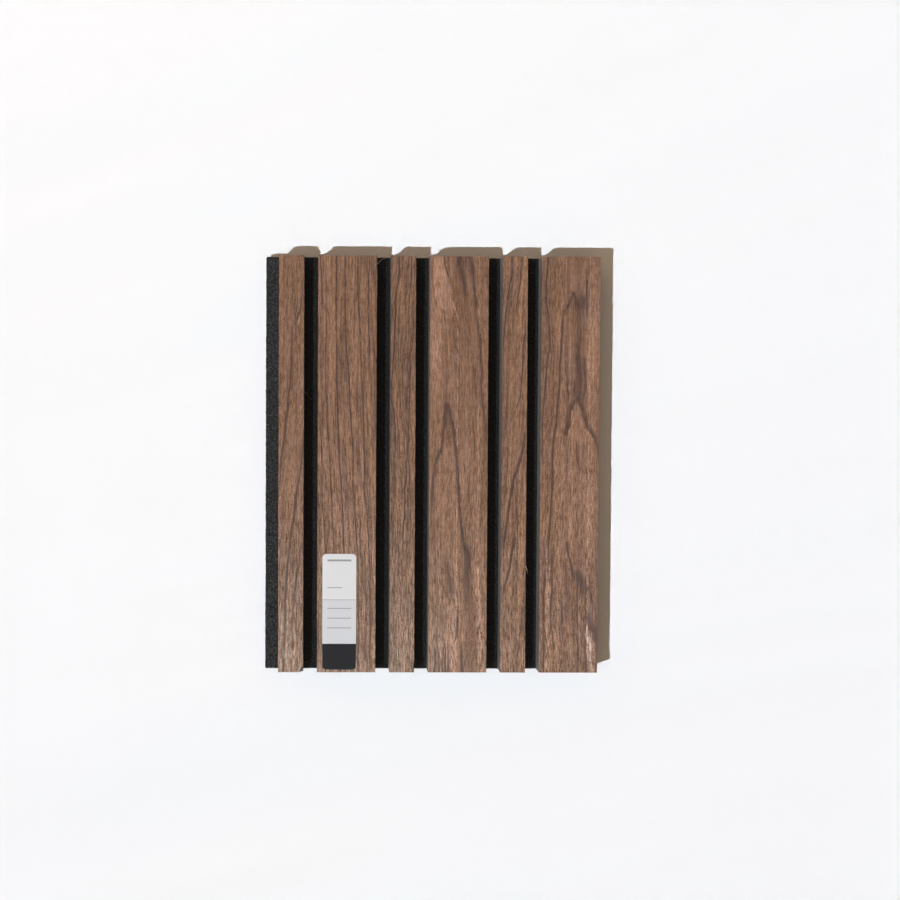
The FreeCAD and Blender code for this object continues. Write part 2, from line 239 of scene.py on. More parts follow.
# Lines of figure picked off the photograph.
# Each has its half width in millimetres, or one for its left and one for its right side,
# its tone, and then (across, down, strength) in photograph pixels for the points on it.
FIGURE = {
    "narrow_slat_1": (
        (0.6, GREY, (302.5, 275, 0), (302.5, 285, .45), (301.5, 300, .5), (299.5, 313, .6),
         (297.7, 317, .9), (297.3, 321, 0)),
        (0.5, GREY, (291.9, 293, 0), (291.9, 300, .35), (292.6, 306, 0)),
        (0.5, GREY, (294.6, 300, 0), (295, 308, .4), (295.7, 325, .3), (295.7, 332, 0)),
        (0.8, GREY, (292, 322, 0), (291.9, 332, .4), (291.9, 345, .5), (291.5, 360, .6),
         (290.8, 374, .6), (290.1, 384, .55), (288.3, 397, .7), (287.6, 409, .75), (286.2, 416, .7),
         (285.2, 430, .65), (283.1, 444, .6), (281, 460, .6), (280.3, 475, .45), (279.2, 492, .2),
         (278.8, 500, 0)),
        (0.6, GREY, (287.3, 362, 0), (287.3, 372, .3), (287.3, 386, .25), (287.5, 392, 0)),
        (0.5, GREY, (296, 390, 0), (296, 400, .2), (296.2, 412, .2), (296.2, 420, 0)),
        (0.8, GREY, (304, 436, 0), (303.1, 443, .4), (301.3, 462, .55), (298.9, 480, .5),
         (297.5, 490, .5), (296, 498, .7), (295, 509, .55), (293.4, 520, .7), (291.8, 530, .6),
         (289.4, 549, .6), (287.6, 568, .65), (286.2, 580, .65), (285.4, 595, .6), (285, 630, .55),
         (283, 667, .5)),
        (0.7, GREY, (300.5, 545, 0), (299.9, 554, .4), (298.9, 565, .55), (296.8, 574, .6),
         (293.4, 605, .5), (292, 636, .4), (291, 655, .15)),
        (0.5, GREY, (282.8, 660, 0), (282.8, 664, .7), (282.8, 672, .8)),
        (0.5, PALE, (281.3, 658, 0), (281.2, 664, .6), (281, 672, .6)),
        (0.5, PALE, (299, 318, 0), (298.4, 320, .6), (298, 324, .5), (297.6, 326, 0)),
        (0.6, PALE, (288.8, 575, 0), (287.6, 590, .4), (286.9, 615, .4), (286, 640, .3), (285, 660, 0)),
    ),
    "wide_slat_1": (
        (0.5, GREY, (320.5, 256, .4), (321.3, 275, .4), (322.2, 300, .3), (322.8, 312, 0)),
        (0.45, GREY, (321.3, 435, 0), (321.7, 450, .35), (321.9, 485, .4), (322.4, 503, .4),
         (324.1, 524, .45), (325.2, 548, .4)),
        (0.45, GREY, (326.8, 318, 0), (326.4, 331, .35), (325.5, 350, .4), (325.5, 378, .4),
         (326.6, 400, .4), (328, 434, .45), (330, 460, .45), (330.8, 485, .45), (332.2, 510, .4),
         (333.2, 534, .4), (334, 550, .35)),
        (0.55, GREY, (336.3, 256, .6), (336.3, 300, .6), (336.7, 350, .6), (336.7, 378, .65),
         (337.4, 392, .65), (338.1, 420, .6), (339.5, 460, .6), (341.3, 485, .6), (342.3, 506, .55),
         (343.4, 534, .5), (344.2, 552, .4)),
        (0.5, GREY, (345.3, 256, .5), (345.3, 315, .5), (346.5, 350, .5), (349, 378, .5),
         (350.8, 420, .5), (353, 460, .5), (352.6, 485, .45), (354, 500, .3), (355, 516, .45),
         (357.1, 545, .5), (358.5, 570, .4)),
        (0.45, GREY, (331.5, 256, .3), (331.5, 266, .25), (331.5, 275, 0)),
        (0.45, GREY, (354.3, 280, 0), (354.3, 290, .3), (354.3, 328, .25), (354.6, 340, 0)),
        (0.5, GREY, (357.7, 256, .45), (357.7, 286, .45), (359, 310, .45), (360.9, 350, .45),
         (361, 370, .45), (362, 385, .45), (363.4, 413, .5), (364.4, 455, .5), (365.1, 492, .5),
         (366.9, 513, .5), (367.9, 531, .45), (369.3, 555, .45), (370, 600, .3)),
        (0.5, GREY, (369.8, 256, .45), (369.8, 266, .45), (368.7, 282, .7), (368.7, 290, .7),
         (368, 310, .45), (369.5, 350, .4), (369.5, 370, .35), (370, 385, 0)),
        (0.45, GREY, (372, 312, 0), (372.8, 325, .3), (374.3, 392, .35), (375.3, 427, .3), (375.6, 445, 0)),
    ),
    "narrow_slat_2": (
        (0.55, GREY, (399.2, 256, .5), (398.6, 278, .55), (396.2, 292, .6), (395.2, 313, .6),
         (394.8, 341, .6), (393, 365, .6), (391.3, 397, .6), (394, 411, .5), (395.5, 440, .4),
         (395.8, 455, 0)),
        (0.5, GREY, (411.7, 257, .3), (411.7, 264, .4), (411.5, 278, .45), (409.6, 295, .4), (409.2, 305, 0)),
        (0.45, GREY, (413.8, 300, 0), (413.8, 312, .25), (413.8, 330, .25), (411, 352, .4),
         (410.6, 362, .4), (409.6, 383, .65), (409.4, 399, .65), (408.8, 420, .4), (408, 446, .4),
         (407.6, 458, 0)),
        (0.5, GREY, (402.7, 362, 0), (402.5, 370, .4), (402.5, 390, .35), (402.5, 398, 0)),
        (0.5, GREY, (394, 452, 0), (394, 460, .4), (394, 488, .4), (393.8, 498, 0)),
        (0.5, GREY, (406, 460, 0), (406, 467, .4), (405.8, 481, .4), (404.8, 490, .5), (404.6, 500, .65),
         (404.6, 516, .65), (403, 527, .45), (402.8, 544, .4), (402.4, 560, 0)),
    ),
    "wide_slat_2": (
        ((1.9, 1.7), GREY, (459, 256, .75), (459, 262, .7), (460.5, 270, .65), (462.5, 278, .6), (465, 286, .55),
         (466, 293, .4), (466.4, 299, 0)),
        ((1.6, 0.6), GREY, (470, 256, .6), (471.8, 262, .6), (472.6, 267, .6), (473.4, 278, .5), (474.8, 291, .55),
         (476.7, 307, .75), (477.6, 318, .6), (479.6, 334, .55), (480.5, 346, .6), (481.9, 365, .6),
         (482.3, 393, .5), (485.2, 419, .5), (485.7, 433, .4), (486, 445, 0)),
        (0.5, GREY, (444, 257, .4), (445.4, 266, .4), (447.9, 274, .3), (449, 280, 0)),
        (0.45, RED, (434.2, 262, .3), (434.6, 300, .35), (435, 340, .2), (435, 360, 0)),
        ((0.8, 1.4), GREY, (446.6, 402, 0), (445.8, 405, .5), (445, 409, .6), (443, 433, .55), (439.8, 452, .6),
         (435.5, 462, .6), (433, 481, .55), (432, 500, .4), (431.5, 520, 0)),
        ((1.3, 0.7), GREY, (446.6, 402, 0), (448.6, 406, .55), (450.8, 414, .6), (453.2, 427, .65),
         (455, 438, .7), (456.6, 452, .65), (457.5, 471, .6), (459, 491, .6), (460.4, 510, .6),
         (462.3, 529, .6), (463.4, 540, .6), (466.2, 550, .6), (469.6, 556, .5), (469.8, 566, .3), (469.4, 575, 0)),
        (2.6, GREY, (465.4, 540, 0), (466.6, 549, .4), (467.6, 558, .5), (467.6, 568, .5), (467.4, 585, .35),
         (467.6, 600, .2), (467.8, 612, 0)),
        ((3.0, 3.4), RED, (468, 575, 0), (468.2, 588, .5), (469.4, 606, .65), (470.4, 625, .7),
         (470.8, 645, .6), (470.8, 672, .5)),
        (2.2, GREY, (446.6, 552, 0), (447.4, 562, .22), (449, 575, .3), (450.6, 588, .34), (452.4, 595, 0)),
        (0.45, GREY, (458, 588, 0), (457, 592, .35), (457.6, 598, 0)),
        (0.8, GREY, (457.4, 616, 0), (457.2, 622, .4), (457, 632, .35), (457, 640, 0)),
        (0.9, GREY, (461.4, 640, 0), (461.4, 650, .3), (462, 660, .4), (462.6, 672, .45)),
        (0.5, GREY, (485, 528, 0), (485, 540, .45), (484.8, 560, .4), (485, 575, 0)),
        (1.6, PALE, (474.4, 555, 0), (475.2, 570, .3), (476.2, 585, .32), (479, 605, .32), (480.6, 640, .35),
         (481, 672, .4)),
        (0.7, PALE, (477.8, 560, .2), (478.4, 585, .35), (478.8, 600, .2), (479, 612, 0)),
        (2.4, PALE, (452, 600, 0), (452.6, 620, .35), (453.4, 645, .45), (453.6, 672, .5)),
        (0.5, PALE, (438.6, 636, 0), (439, 643, .6), (440.4, 652, .6), (441, 657, 0)),
        (0.5, GREY, (472.6, 420, 0), (472.8, 427, .45), (474.2, 438, .5), (474.7, 452, .45), (474.8, 462, 0)),
        (0.4, GREY, (464.2, 463, 0), (464.7, 468, .6), (465, 473, 0)),
        (0.55, PALE, (446.4, 304, 0), (446.8, 311, .9), (447.4, 325, .9), (448.6, 346, .7), (448.6, 362, 0)),
        (0.6, PALE, (451, 298, 0), (453, 303, .5), (455.5, 311, .6), (457.4, 316, .9), (458.2, 319, 0)),
        (0.45, GREY, (434.8, 645, 0), (434.8, 656, .6), (434.8, 671, .7)),
        (0.45, GREY, (438.2, 650, 0), (438.4, 659, .6), (438.6, 671, .6)),
        (0.45, GREY, (442, 655, 0), (442, 662, .5), (442, 671, .7)),
        (0.45, GREY, (445, 645, 0), (445, 656, .6), (445, 671, .6)),
        (0.45, GREY, (448, 648, 0), (448, 658, .5), (448, 671, .5)),
    ),
    "narrow_slat_3": (
        (0.5, GREY, (511.9, 257, .4), (511.8, 271, .45), (509.7, 285, .5), (506.9, 306, .5),
         (505.5, 320, .5), (504, 338, .45), (503, 352, 0)),
        (0.5, GREY, (521.2, 257, .4), (521, 274, .45), (519, 290, .45), (517.4, 302, .4), (516.6, 312, 0)),
        (0.5, GREY, (525.6, 325, 0), (525.2, 334, .4), (523, 348, .5), (522.6, 369, .5), (521, 390, .45),
         (517.4, 404, .35), (511.8, 418, .2), (508, 428, 0)),
        ((0.9, 0.7), GREY, (525.2, 430, 0), (524.5, 440, .45), (521, 457, .6), (517, 470, .7), (513.4, 482, .75),
         (511, 496, .7), (509, 510, .7), (507, 523, .65), (504.6, 538, .55), (502.6, 552, 0)),
        ((0.9, 0.7), GREY, (514.6, 535, 0), (513.2, 545, .5), (510.6, 562, .6), (507.6, 576, .55), (504.8, 586, .45), (502, 600, 0)),
        (0.6, GREY, (521.8, 605, 0), (521.6, 614, .4), (521.2, 628, .4), (519.5, 635, .4),
         (517.5, 655, .35), (517, 668, .2)),
    ),
    "wide_slat_3": (
        (0.55, GREY, (548.4, 257, .7), (547.6, 269, .7), (546.2, 283, .75), (546.5, 303, .7), (548.6, 320, .65),
         (549.8, 334, .7), (549.8, 345, .7), (548.4, 355, .65), (547, 368, .6), (546, 378, .65), (544.6, 393, .65),
         (542.8, 412, .6), (542.2, 430, .55), (542.4, 450, .45), (541.6, 470, 0)),
        ((0.5, 1.0), GREY, (573.2, 291, 0), (572.4, 295, .45), (570, 301, .6), (567, 307, .65), (564.2, 311, .6),
         (562.6, 317, .7), (562, 331, .75), (561, 350, .7), (559.6, 368, .75), (558.8, 390, .75),
         (557, 411, .7), (555.8, 423, .7), (553.6, 438, .7), (552.2, 455, .75), (551.9, 476, .7), (551.3, 500, .65),
         (549.8, 519, .6), (548.4, 540, .55), (548.2, 558, .45), (548, 570, 0)),
        ((1.3, 0.9), GREY, (573.4, 291, 0), (574, 294, .6), (576.2, 299, .55), (578.5, 305, .5), (579.6, 310, 0)),
        ((1.8, 1.6), GREY, (583, 294, 0), (583, 300, .5), (583.4, 306, .55), (583.6, 310, 0)),
        (0.55, GREY, (586.8, 278, 0), (586.8, 285, .7), (586.6, 296, .5), (587, 306, .85), (587, 312, .5),
         (587, 322, 0)),
        (0.45, GREY, (580.6, 328, 0), (580.8, 334, .5), (580.8, 342, .4), (580.6, 352, 0)),
        ((1.6, 1.2), GREY, (577.5, 341, 0), (577.8, 347, .6), (578.4, 356, .7), (579.6, 366, .65), (580.4, 378, .6),
         (580.4, 390, .55), (579, 400, .4), (578, 405, 0)),
        ((1.0, 1.2), GREY, (583.4, 356, 0), (584, 364, .5), (585, 374, .5), (585.2, 386, .5), (584, 396, .35),
         (583.6, 404, 0)),
        ((1.3, 1.6), GREY, (574.5, 378, 0), (574.5, 386, .4), (574.6, 394, .5), (575, 400, 0)),
        (0.5, GREY, (568, 378, 0), (568, 386, .6), (568.4, 394, .55), (568.6, 401, 0)),
        ((2.2, 0.5), GREY, (576.4, 399, 0), (575.2, 402, .7), (572.6, 407, .8), (570.6, 413, .75), (569.4, 422, .7),
         (568, 431, .75), (566.4, 436, 0)),
        ((0.5, 0.4), GREY, (566.3, 424, 0), (565.6, 429, .6), (563.9, 437, .6), (563.2, 446, 0)),
        ((0.5, 2.4), GREY, (577.2, 398, 0), (578.6, 402, .75), (581.6, 410, .8), (584.2, 420, .75), (587, 428, .75),
         (591.4, 434, .7), (594.4, 441, .6), (597.2, 449, .45), (598.4, 456, 0)),
        (0.5, GREY, (576, 440, 0), (576.6, 447, .5), (577, 457, .45), (578.6, 466, .35), (580, 474, 0)),
        (0.5, GREY, (570.4, 484, 0), (570.4, 491, .4), (570.4, 499, .4), (570.4, 506, 0)),
        (0.5, GREY, (562.7, 498, 0), (562.7, 506, .45), (562.7, 523, .4), (562.7, 531, 0)),
        (0.7, GREY, (552.2, 552, 0), (552, 560, .5), (552, 585, .55), (551, 600, .55), (550.6, 624, .5),
         (550.6, 636, 0)),
        (0.7, GREY, (544.9, 568, 0), (544.8, 577, .5), (543.5, 598, .55), (543.5, 643, .55), (543.5, 671, .5)),
        (1.5, PALE, (548.4, 545, 0), (548.2, 556, .55), (548, 575, .6), (547.4, 600, .65), (547.4, 640, .5),
         (547, 672, .4)),
        ((1.0, 0.8), GREY, (566.8, 541, 0), (567.2, 547, .55), (568.4, 554, .55), (570.4, 561, .5), (571.8, 569, .5),
         (573.4, 577, .3), (575, 584, 0)),
        (1.2, GREY, (565, 560, 0), (565.4, 568, .3), (566.4, 580, .3), (566.8, 600, .2), (567, 620, 0)),
        ((2.8, 2.6), GREY, (577.2, 569, 0), (578.4, 575, .62), (580, 580, .68), (581.6, 587, .4), (583, 596, .2),
         (584, 604, 0)),
        (2.8, RED, (569, 575, 0), (569.6, 588, .35), (570, 605, .4), (570, 625, .3), (570, 645, 0)),
        (0.5, GREY, (577.6, 582, 0), (577.6, 590, .45), (577.4, 605, .4), (577.2, 630, .35), (577.2, 672, .35)),
        (0.45, GREY, (572.8, 604, 0), (572.8, 611, .4), (573, 620, 0)),
        (0.8, GREY, (561.4, 600, 0), (561.5, 606, .5), (561.8, 618, .5), (562, 626, 0)),
        (0.45, GREY, (565.4, 602, 0), (565.4, 610, .4), (565.2, 620, 0)),
        (0.5, GREY, (585.2, 576, 0), (585.4, 585, .4), (585.2, 598, .3), (585.4, 608, .5), (585.6, 616, .4),
         (585.8, 622, 0)),
        (0.6, GREY, (589.4, 572, 0), (589.6, 580, .4), (590.4, 590, .4), (591.6, 597, .6), (592.4, 604, 0)),
        ((2.6, 2.4), GREY, (587.4, 606, 0), (588.2, 616, .5), (589, 624, .65), (591.4, 630, .6), (593.4, 637, .4),
         (594.6, 644, 0)),
        ((1.2, 2.6), GREY, (594, 625, 0), (595.4, 631, .45), (596.6, 638, .45), (596.8, 650, .4), (596.6, 662, .3),
         (596.6, 672, .3)),
        ((1.6, 0.7), GREY, (584.4, 622, 0), (584.8, 630, .45), (585.6, 645, .5), (586.2, 660, .5), (586.4, 672, .5)),
        ((1.5, 2.1), RAW, (588, 630, 0), (588.6, 637, .35), (589.2, 645, .45), (589.9, 652, .45),
         (590.5, 660, .42), (590.8, 672, .48)),
        (0.5, RAW, (586.9, 624, 0), (587, 630, .45), (587.4, 637, .4), (588, 644, 0)),
        (0.45, GREY, (591.8, 648, 0), (592, 655, .5), (592.2, 664, .55), (592.4, 672, .6)),
        (0.45, PALE, (579.6, 588, 0), (579.6, 594, .4), (579.2, 610, 0)),
        (0.5, PALE, (578.8, 600, 0), (578.8, 612, .5), (579, 634, .6), (579.4, 652, .7), (579.6, 662, .4),
         (579.6, 672, .3)),
        (0.5, PALE, (582, 628, 0), (582, 636, .4), (582.4, 648, .3), (582.4, 656, 0)),
        (1.2, PALE, (559.6, 575, 0), (559.4, 585, .25), (559, 600, .2), (559, 610, 0)),
    ),
}

# Areas with a clear outline: tone, strength, then the left and the right edge down the slat
ISLANDS = {
    "wide_slat_2": (
        (PALE, .68, ((433.6, 256), (433.2, 270), (434, 290), (438, 303), (446, 312)),
         ((444, 257), (447.5, 273), (450.8, 287), (452, 300), (453, 306))),
        (RED, .35, ((452.5, 272), (453.6, 290), (455, 305), (450.6, 320), (449.6, 352)),
         ((459, 272), (467, 290), (473, 305), (472, 330), (470, 352))),
    ),
    "wide_slat_3": (
        (PALE, .45, ((576.6, 401), (574.2, 406), (571.7, 411), (570.4, 419), (569.2, 427), (567.1, 434),
                     (566.4, 446)),
         ((576.8, 401), (580, 407), (582.5, 417), (584.2, 427), (589.2, 432), (592.5, 437), (593.4, 446))),
    ),
}

# Soft patches: tone, strength, then the middle and half sizes in photograph pixels
PATCHES = {
    "narrow_slat_1": (
        (GREY, .5, (284.5, 514), (1.2, 2)), (PALE, .20, (302, 390), (3, 60)), (PALE, .15, (288, 345), (4, 30)),
        (PALE, .20, (290, 480), (12, 60)), (GREY, .15, (297.5, 303), (1.8, 12)), (PALE, .20, (297, 328), (1.6, 8)),
        # The grey patch at (300, 625) is painted shade that stands for weaker sheen there
        (GREY, .18, (289, 455), (2.5, 20)), (PALE, .20, (290.5, 615), (2, 22)), (GREY, .25, (300, 625), (2.5, 35)),
        (DULL, .20, (299, 640), (4, 35)), (DULL, -.15, (285, 648), (6, 30)),
    ),
    "wide_slat_1": (
        (PALE, .30, (352.5, 330), (2, 85)), (PALE, .18, (352.5, 440), (1.6, 60)), (PALE, .15, (333, 360), (2.5, 25)),
        (PALE, .12, (346, 490), (26, 50)), (GREY, .30, (347.5, 418), (1.6, 34)), (GREY, .15, (341, 278), (2, 26)),
        (PALE, .20, (369, 302), (1.6, 14)), (PALE, .22, (323, 362), (1.6, 22)), (PALE, .15, (346, 345), (2.2, 20)),
        # The grey patches at (363, 650) and (371, 632) are painted shade that stands for weaker sheen there
        (GREY, .28, (363, 650), (1.8, 22)), (GREY, .20, (371, 632), (2, 26)), (GREY, .25, (320.6, 630), (1.3, 36)),
        (PALE, .20, (357, 525), (2, 28)), (DULL, .42, (366, 640), (9, 55)), (DULL, .45, (319, 620), (3, 60)),
    ),
    "narrow_slat_2": (
        (PALE, .25, (402, 286), (3, 16)), (PALE, .30, (416, 570), (2, 80)), (PALE, .30, (400, 640), (4, 40)),
        (GREY, .18, (392.5, 520), (1.6, 60)), (GREY, .15, (393, 340), (1.5, 14)), (PALE, .25, (402, 560), (2, 40)),
        (PALE, .20, (414, 480), (1.5, 36)), (DULL, .30, (395, 645), (6, 36)),
    ),
    "wide_slat_2": (
        (PALE, .70, (436, 345), (4.5, 50)), (GREY, .45, (448, 418), (3, 22)), (GREY, .20, (485.5, 465), (2, 40)),
        (PALE, .18, (466, 455), (4, 30)), (PALE, .22, (475, 490), (3, 60)), (PALE, .15, (444, 460), (4, 12)),
        (PALE, .35, (448, 635), (3, 28)), (GREY, .22, (436, 664), (8, 18)), (RED, .22, (478, 500), (9, 40)),
        (PALE, .15, (456, 480), (24, 55)), (PALE, .22, (447.5, 300), (1.6, 55)), (PALE, .35, (450.5, 384), (4, 26)),
        (RAW, .05, (441, 655), (9, 20)), (DULL, -.12, (438, 652), (9, 28)), (DULL, .12, (455, 652), (6, 28)),
        (GREY, .35, (466, 262), (3, 9)), (GREY, .22, (470.5, 276), (1.6, 12)), (GREY, .15, (479.5, 365), (1.6, 50)),
        (GREY, .25, (458, 350), (1.2, 45)),
    ),
    "narrow_slat_3": (
        (GREY, .22, (505, 340), (3.5, 60)), (PALE, .20, (516.5, 362), (3, 18)), (PALE, .22, (508, 580), (3, 40)),
        (PALE, .35, (505, 655), (3, 22)), (GREY, .30, (527, 600), (1.5, 18)), (PALE, .08, (512, 630), (14, 70)),
        (RAW, .03, (512, 628), (14, 45)), (GREY, .15, (506, 440), (3, 30)), (GREY, .35, (513, 424), (2.2, 15)), (GREY, .25, (527, 420), (1.8, 8)),
        (PALE, .20, (517, 285), (3, 28)), (GREY, .15, (503, 322), (1.6, 20)),
    ),
    "wide_slat_3": (
        (GREY, .30, (546, 310), (6, 75)), (PALE, .55, (592, 358), (5.5, 58)), (PALE, .40, (569.5, 350), (1.8, 30)),
        (PALE, .22, (557, 325), (3, 20)), (PALE, .45, (569, 515), (9, 50)), (PALE, .45, (588, 512), (9, 50)),
        (PALE, .22, (554, 475), (2, 40)), (PALE, .45, (591, 650), (3, 26)), (PALE, .30, (594.5, 590), (2.5, 25)),
        (GREY, .12, (579, 372), (5, 12)), (RED, .30, (546, 470), (5, 30)), (PALE, .50, (565, 624), (1.6, 1.0)),
        (GREY, .15, (588, 590), (6, 16)), (PALE, .25, (572, 275), (4, 14)),
        (PALE, .15, (570, 475), (24, 45)), (RAW, .035, (570, 628), (24, 42)), (GREY, .28, (562, 282), (3, 22)), (PALE, .38, (580.5, 280), (4.5, 20)),
        (GREY, .50, (575, 305), (6, 7)), (GREY, .22, (551.5, 262), (2, 6)), (GREY, .22, (588.5, 285), (1.6, 34)),
        (GREY, .20, (573, 342), (1.8, 16)), (GREY, .20, (590, 445), (3, 26)), (GREY, .18, (545, 405), (2, 20)),
        (PALE, .30, (597.5, 325), (2.5, 40)), (PALE, .20, (578.5, 392), (3, 12)),
        (RED, .30, (590, 310), (1.4, 55)),
    ),
}

# Lightness, long streaks, short flecks and picked lines of each slat against the mean of all
CHARACTER = {
    "narrow_slat_1": (1.06, 0.8, 1.0, 0.85), "wide_slat_1": (1.01, 2.0, 0.95, 1.4),
    "narrow_slat_2": (0.885, 2.5, 1.05, 1.4), "wide_slat_2": (1.065, 1.0, 0.85, 1.25),
    "narrow_slat_3": (1.06, 1.8, 0.95, 1.4), "wide_slat_3": (1.075, 0.9, 1.05, 0.95),
}

THIN_LINE, BROAD_LINE = 1.6, 1.25
FLANK = 0.6
FIBRE_DARK = (0.40, 0.36, 0.30, 1)
FIBRE_LIGHT = (1.60, 1.64, 1.70, 1)
WOOD_DARK = (0.110, 0.052, 0.027, 1)
WOOD_LIGHT = (0.265, 0.139, 0.079, 1)
STREAK_COLOUR = {
    GREY: (0.045, 0.026, 0.025, 1),
    RED: (0.135, 0.055, 0.026, 1),
    PALE: (0.360, 0.195, 0.125, 1),
    RAW: (0.530, 0.395, 0.335, 1),
}


def walnut_finish(slat, number):
    """Walnut veneer of one slat: its own lines of figure over fine streaks and pores."""
    low, high = FACE[slat]
    width = high.x - low.x
    finish = new_finish(slat + "_walnut")
    x, y, z = finish.place()
    run = (SLAT_HEAD - y) * (1 / SLAT_LENGTH)
    shift = 37.3 * number + 0.4
    waver = finish.grain(x * 0.22, y * 0.07, shift, 1.0) - 0.5
    shiver = finish.grain(x * 0.9, y * 0.28, shift + 9, 1.0) - 0.5
    dashes = finish.grain(x * 1.3, y * 0.15, x * 0.37 + (shift + 8.2), 1.0) - 0.5
    smooth = x - low.x + waver
    side = smooth + shiver * 0.45 + dashes * 1.15
    ragged = side + dashes * 2.2
    lightness, streakiness, fleckiness, depth_of_line = CHARACTER[slat]

    def spot(across, down):
        at = under_pixel(across, down)
        return (SLAT_HEAD - at.y) / SLAT_LENGTH, (at.x - low.x) / width

    def line_path(points):
        return finish.follow(run, [spot(*point[:2]) for point in points]) * width

    # Long streaks that follow the slat's lean
    drift = smooth - line_path(LEAN[slat])
    bands = finish.grain(drift * 0.16, y * 0.006, shift + 1, 1.0) - 0.5
    streaks = finish.grain(drift * 0.62, y * 0.020, shift + 2, 2.0) - 0.5
    lines = finish.grain(drift * 1.25, y * 0.035, shift + 3, 2.0) - 0.5
    ripple = finish.grain(x * 0.08, y * 0.35, shift + 6, 2.0) - 0.5

    # Pores and flecks run with the fibres
    depth = x * 0.31 + y * 0.021
    flecks = finish.grain(drift * 2.6, y * 0.15, depth + (shift + 4.4), 2.0, 0.6)
    flecks = finish.ease(flecks, 0.36, 0.64, -0.22, 0.22)
    pores = finish.ease(finish.grain(drift * 2.3, y * 0.15, depth + (shift + 5.7), 1.0), 0.57, 0.66)
    grit = finish.grain(x * 2.1, y * 1.15, depth + (shift + 7.3), 1.0) - 0.5
    # Painted glints: fleck and streak contrast in the colour grows toward the lower ends, where the sheen catches
    # them
    glint_contrast = finish.ease(run, 0.30, 0.95, 0.90, 1.45)

    # The picked lines, areas and patches, added up by tone
    mottle = flecks * 1.6 + 1.0
    broken = (flecks * 4.4 + grit * 2.4 + 1.0).most(0.12)
    strength = {tone: 0.0 for tone in (GREY, RED, PALE, RAW, DULL)}
    for half_width, tone, *points in FIGURE[slat]:
        left, right = half_width if isinstance(half_width, tuple) else (half_width, half_width)
        away = (ragged if max(left, right) > 1.0 else side) - line_path(points)
        away = (away * (1 / right)).most(away * (-1 / left))
        presence = finish.follow(run, [(spot(*point[:2])[0], point[2]) for point in points])
        presence = presence * (depth_of_line * (BROAD_LINE if left + right > 1.9 else THIN_LINE))
        apart = away * away
        line = math.e ** (apart * -1.0) * presence
        strength[tone] = line * broken + strength[tone]
        if tone == GREY and left + right < 1.3:
            strength[PALE] = line * apart * FLANK + strength[PALE]
    for tone, amount, left_edge, right_edge in ISLANDS.get(slat, ()):
        inside = finish.ease(side - line_path(left_edge), -0.3, 0.7)
        inside = inside * finish.ease(line_path(right_edge) - side, -0.3, 0.7)
        head, foot = spot(*left_edge[0])[0], spot(*left_edge[-1])[0]
        inside = inside * finish.ease(run, head - 0.004, head + 0.004) * finish.ease(run, foot + 0.02, foot - 0.02)
        strength[tone] = inside * mottle * amount + strength[tone]
    for tone, amount, middle, half in PATCHES.get(slat, ()):
        centre = under_pixel(*middle)
        corner = under_pixel(middle[0] + half[0], middle[1] + half[1])
        across = (x + dashes * 2.4 - centre.x) * (1 / (corner.x - centre.x))
        along = (y + dashes * 6.0 - centre.y) * (1 / (corner.y - centre.y))
        strength[tone] = math.e ** ((across * across + along * along) * -1.0) * mottle * amount + strength[tone]

    tone = bands * 0.9 + (streaks * 1.1 + lines * 1.5) * glint_contrast * streakiness + 0.5
    colour = finish.blend(tone.most(0.0).least(1.0), WOOD_DARK, WOOD_LIGHT)
    for name in (RED, PALE, GREY, RAW):
        if isinstance(strength[name], Field):
            colour = finish.blend(strength[name].least(0.95), colour, STREAK_COLOUR[name])

    fibre = (flecks * 1.10 + grit * 1.05 - pores * 0.12) * glint_contrast * fleckiness
    film = fibre * 2.2 + 0.52 - strength[GREY] * 0.5 - strength[DULL]
    film = film.most(0.0).least(1.0)
    fibre = finish.blend((fibre + 0.51).most(0.0).least(1.0), FIBRE_DARK, FIBRE_LIGHT)
    colour = finish.blend(1.0, colour, fibre, "MULTIPLY")
    colour = finish.blend(1.0, colour, (ripple * 0.35 + 1.0) * lightness, "MULTIPLY")
    hue = finish.grain(drift * 0.24, y * 0.022, shift + 10, 2.0)
    hue = finish.blend(finish.ease(hue, 0.3, 0.7), (1.02, 1.0, 0.92, 1), (0.98, 1.0, 1.08, 1))
    colour = finish.blend(1.0, colour, hue, "MULTIPLY")

    relief = flecks + lines * 0.7 + grit * 0.8 - pores * 0.6
    return finish.surface(
        Base_Color=colour,
        Roughness=0.42 - flecks * 0.3,
        Specular_IOR_Level=0.24,
        Coat_Weight=film,
        Coat_Roughness=0.30,
        Coat_IOR=1.5,
        Normal=finish.bump(relief, 0.14),
    )


def dark_core_finish():
    """Through-dyed fibreboard: charcoal with a fine speck and faint saw lines."""
    finish = new_finish("dyed_fibreboard")
    x, y, z = finish.place()
    speck = finish.grain(x * 2.4, y * 2.4, z * 3.0, 3.0, 0.65)
    cloud = finish.grain(x * 0.15, y * 0.06, z * 0.8, 2.0)
    saw = finish.grain(x * 0.2, y * 0.35, z * 5.5, 2.0)
    tone = speck * 0.55 + cloud * 0.35 + saw * 0.35 - 0.125
    colour = finish.blend(tone.most(0.0).least(1.0), (0.068, 0.061, 0.056, 1), (0.195, 0.178, 0.164, 1))
    return finish.surface(
        Base_Color=colour,
        Roughness=0.72 + (speck - 0.5) * 0.2,
        Specular_IOR_Level=0.25,
        Normal=finish.bump(speck * 0.7 + saw * 0.5, 0.08),
    )


FELT_SHINE = 0.21
GAP_SHADE = 0.36


